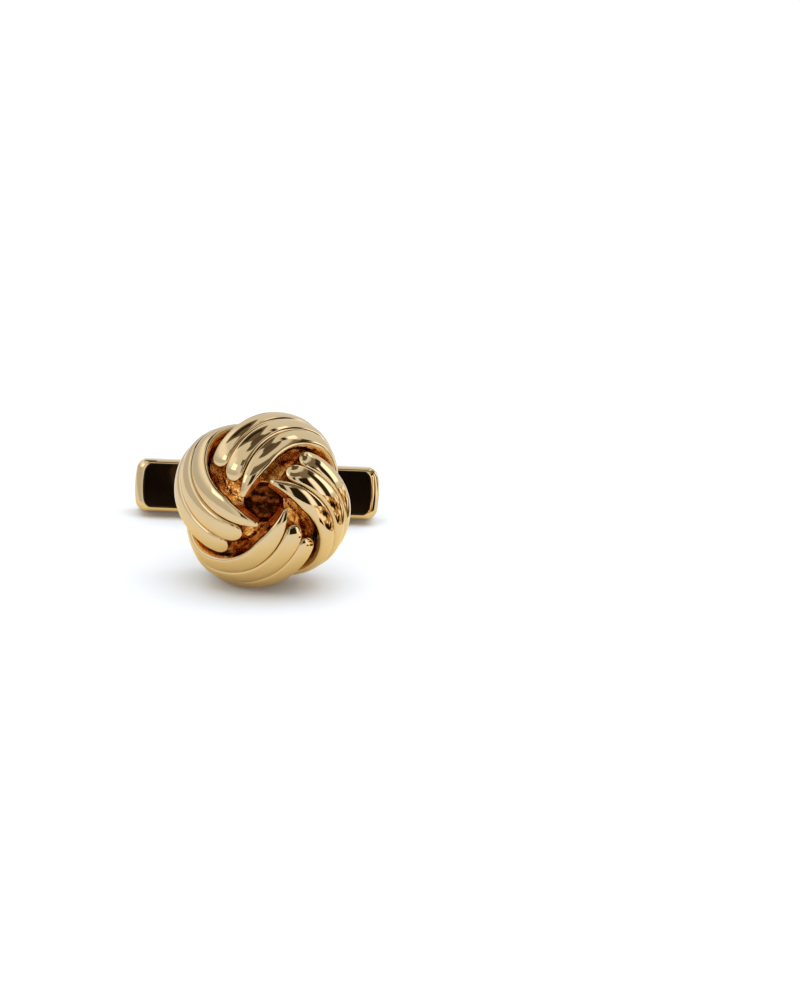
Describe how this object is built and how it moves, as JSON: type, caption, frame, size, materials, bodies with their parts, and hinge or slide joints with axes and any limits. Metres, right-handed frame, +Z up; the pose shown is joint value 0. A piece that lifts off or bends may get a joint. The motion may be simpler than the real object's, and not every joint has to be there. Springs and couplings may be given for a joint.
{
  "type": "cufflink",
  "caption": "Polished gold knot cufflink: a ball of ribbed strands on a short post, with a swivelling bar that folds in line with the post to pass a buttonhole.",
  "frame": {"origin": "on the table under the middle of the link's bounding box, as it lies on the knot and the bar's lower back edge", "axes": "+Z up from the table, +X along the bar to the right as seen from the knot's face, +Y from the knot back to the bar"},
  "size_m": [0.0188, 0.025, 0.0129],
  "materials": {
    "gold": "mirror-polished gold plate on brass",
    "black_enamel": "glossy black enamel"
  },
  "bodies": {
    "head": {"bottom_band_inner_strand": "gold", "bottom_band_middle_strand": "gold", "bottom_band_outer_strand": "gold", "left_band_inner_strand": "gold", "left_band_middle_strand": "gold", "left_band_outer_strand": "gold", "top_band_inner_strand": "gold", "top_band_middle_strand": "gold", "top_band_outer_strand": "gold", "right_band_inner_strand": "gold", "right_band_middle_strand": "gold", "right_band_outer_strand": "gold", "knot_core": "gold", "back_plate": "gold", "knot_rivet": "gold", "post_stem": "gold"},
    "toggle": {"toggle_bar": "gold", "right_enamel": "black_enamel", "left_enamel": "black_enamel", "hinge_pin": "gold", "upper_washer": "gold", "lower_washer": "gold"}
  },
  "joints": [
    {"name": "toggle_swivel", "type": "hinge", "parent": "head", "child": "toggle", "pos_m": [0, 0.00779, 0.00292], "axis": [0, 0.2329, 0.9725], "range_deg": [-90, 90]}
  ]
}
